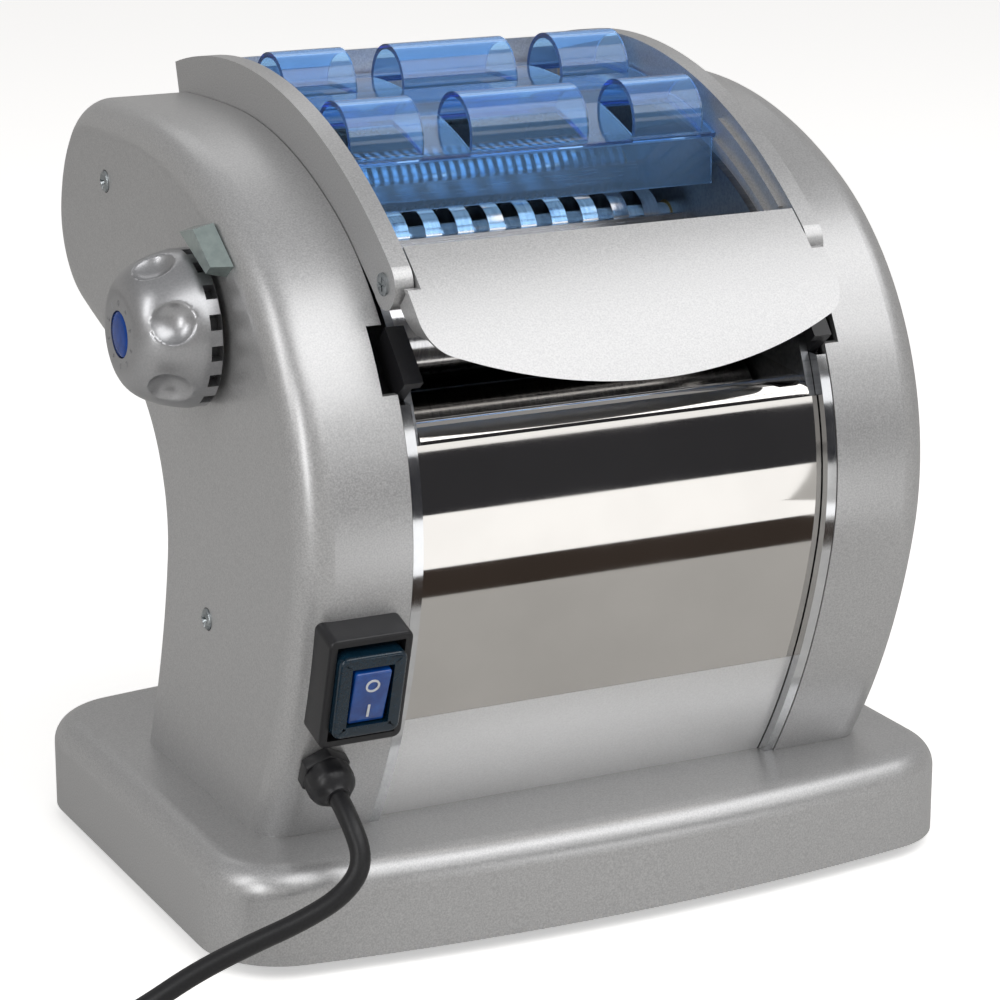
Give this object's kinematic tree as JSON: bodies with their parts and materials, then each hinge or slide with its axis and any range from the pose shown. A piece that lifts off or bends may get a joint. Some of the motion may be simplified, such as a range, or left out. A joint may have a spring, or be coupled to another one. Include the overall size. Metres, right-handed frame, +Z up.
{
  "type": "electric pasta maker",
  "caption": "Countertop electric pasta maker: two dough rollers with a gap knob, wide and fine cutters, lift-up visor, sliding clear guard, hidden gear train and rocker switch.",
  "frame": {"origin": "middle of the machine's box at the surface it stands on", "axes": "+Z up, front towards -Y, the roller gap knob on the -X side"},
  "size_m": [0.4588, 0.3867, 0.3009],
  "materials": {
    "silver_paint": "satin metallic paint",
    "satin_sheet": "satin",
    "black_sheet": "matt",
    "foot_rubber": "matt",
    "zinc_steel": "zinc plated",
    "frame_steel": "satin",
    "bush_brass": "machined",
    "black_plastic": "satin",
    "chrome_trim": "bright",
    "polished_steel": "mirror polished",
    "comb_steel": "satin",
    "clear_green": "gloss",
    "motor_paint": "satin",
    "boot_teal": "gloss",
    "cord_rubber": "satin",
    "clear_blue": "clear tinted",
    "roller_steel": "ground bright",
    "knob_plastic": "satin metallic",
    "cap_blue": "gloss",
    "lens_blue": "gloss",
    "mark_white": "matt",
    "gear_steel": "machined"
  },
  "bodies": {
    "chassis": {"base_shell": "silver_paint", "base_plate": "black_sheet", "rubber_feet": "foot_rubber", "foot_screws": "zinc_steel", "housing_left": "silver_paint", "housing_right": "silver_paint", "frame_plate_left": "frame_steel", "frame_plate_right": "frame_steel", "cheek_left": "silver_paint", "cheek_right": "silver_paint", "housing_posts": "zinc_steel", "housing_screws": "zinc_steel", "tie_rods": "zinc_steel", "shaft_bushes": "bush_brass", "corner_brackets": "black_plastic", "front_trims": "chrome_trim", "front_panel": "satin_sheet", "slide_plate": "polished_steel", "rear_cover": "silver_paint", "visor_pivot_screws": "zinc_steel", "idler_axles": "zinc_steel", "wide_comb": "comb_steel", "fine_comb": "comb_steel", "knob_bush": "bush_brass", "knob_bearing": "zinc_steel", "index_lug": "clear_green", "gearmotor": "motor_paint", "switch_bezel": "black_plastic", "switch_boot": "boot_teal", "cord_gland": "black_plastic", "cord_flex": "cord_rubber", "cord_coil": "cord_rubber", "cord_plug": "cord_rubber"},
    "visor": {"visor": "silver_paint"},
    "guard": {"cutter_guard": "clear_blue"},
    "fixed_roller": {"fixed_roller": "roller_steel", "gear_fixed_roller": "gear_steel", "gear_fixed_drive": "gear_steel"},
    "adjust_roller": {"adjust_roller": "roller_steel", "gear_adjust_roller": "gear_steel"},
    "yoke": {"roller_yoke": "zinc_steel"},
    "wide_front": {"wide_cutter_front": "roller_steel", "gear_wide_front": "gear_steel"},
    "wide_rear": {"wide_cutter_rear": "roller_steel", "gear_wide_rear": "gear_steel"},
    "fine_front": {"fine_cutter_front": "roller_steel", "gear_fine_front": "gear_steel"},
    "fine_rear": {"fine_cutter_rear": "roller_steel", "gear_fine_rear": "gear_steel"},
    "big_idler": {"idler_big": "gear_steel"},
    "small_idler": {"idler_small": "gear_steel"},
    "motor_spindle": {"motor_shaft": "zinc_steel", "motor_pinion": "gear_steel"},
    "gap_shaft": {"gap_shaft": "zinc_steel"},
    "knob": {"gap_knob": "knob_plastic", "knob_cap": "cap_blue"},
    "rocker": {"switch_rocker": "lens_blue", "rocker_marks": "mark_white"}
  },
  "joints": [
    {"name": "roller_spin", "type": "hinge", "parent": "chassis", "child": "fixed_roller", "pos_m": [0.003, -0.05562, 0.21438], "axis": [1, 0, 0], "continuous": true},
    {"name": "adjust_spin", "type": "hinge", "parent": "yoke", "child": "adjust_roller", "pos_m": [0.003, -0.02573, 0.217], "axis": [1, 0, 0], "continuous": true},
    {"name": "wide_front_spin", "type": "hinge", "parent": "chassis", "child": "wide_front", "pos_m": [0.003, 0.00427, 0.233], "axis": [1, 0, 0], "continuous": true},
    {"name": "wide_rear_spin", "type": "hinge", "parent": "chassis", "child": "wide_rear", "pos_m": [0.003, 0.02062, 0.21828], "axis": [1, 0, 0], "continuous": true},
    {"name": "fine_front_spin", "type": "hinge", "parent": "chassis", "child": "fine_front", "pos_m": [0.003, 0.04227, 0.247], "axis": [1, 0, 0], "continuous": true},
    {"name": "fine_rear_spin", "type": "hinge", "parent": "chassis", "child": "fine_rear", "pos_m": [0.003, 0.05912, 0.23286], "axis": [1, 0, 0], "continuous": true},
    {"name": "big_idler_spin", "type": "hinge", "parent": "chassis", "child": "big_idler", "pos_m": [0.003, -0.01424, 0.19669], "axis": [1, 0, 0], "continuous": true},
    {"name": "small_idler_spin", "type": "hinge", "parent": "chassis", "child": "small_idler", "pos_m": [0.003, 0.0435, 0.21598], "axis": [1, 0, 0], "continuous": true},
    {"name": "motor_spin", "type": "hinge", "parent": "chassis", "child": "motor_spindle", "pos_m": [0.003, -0.0179, 0.15485], "axis": [1, 0, 0], "continuous": true},
    {"name": "knob_turn", "type": "hinge", "parent": "chassis", "child": "gap_shaft", "pos_m": [0.003, -0.02573, 0.217], "axis": [1, 0, 0], "range_deg": [0, 112.5]},
    {"name": "yoke_slide", "type": "slide", "parent": "chassis", "child": "yoke", "axis": [0, 0.9962, 0.0872], "range_m": [-0.00001, 0.00184]},
    {"name": "knob_pull", "type": "slide", "parent": "gap_shaft", "child": "knob", "axis": [-1, 0, 0], "range_m": [0, 0.005], "stiffness_N_per_m": 400},
    {"name": "visor_lift", "type": "hinge", "parent": "chassis", "child": "visor", "pos_m": [0.003, -0.0897, 0.24034], "axis": [1, 0, 0], "range_deg": [-60, 0]},
    {"name": "guard_slide", "type": "hinge", "parent": "chassis", "child": "guard", "pos_m": [0.003, 0.04327, 0.083], "axis": [1, 0, 0], "range_deg": [0, 9]},
    {"name": "rocker_tilt", "type": "hinge", "parent": "chassis", "child": "rocker", "pos_m": [-0.1005, -0.11235, 0.10723], "axis": [1, 0, 0], "range_deg": [-12, 0]}
  ],
  "couplings": [
    {"joint": "adjust_spin", "follows": "roller_spin", "ratio": -1},
    {"joint": "big_idler_spin", "follows": "roller_spin", "ratio": -0.5},
    {"joint": "motor_spin", "follows": "roller_spin", "ratio": 1.25},
    {"joint": "wide_rear_spin", "follows": "roller_spin", "ratio": 1.3636},
    {"joint": "wide_front_spin", "follows": "roller_spin", "ratio": -1.3636},
    {"joint": "small_idler_spin", "follows": "roller_spin", "ratio": -1.25},
    {"joint": "fine_rear_spin", "follows": "roller_spin", "ratio": 1.3636},
    {"joint": "fine_front_spin", "follows": "roller_spin", "ratio": -1.3636},
    {"joint": "yoke_slide", "follows": "knob_turn", "m_per_rad": 0.00093201}
  ]
}
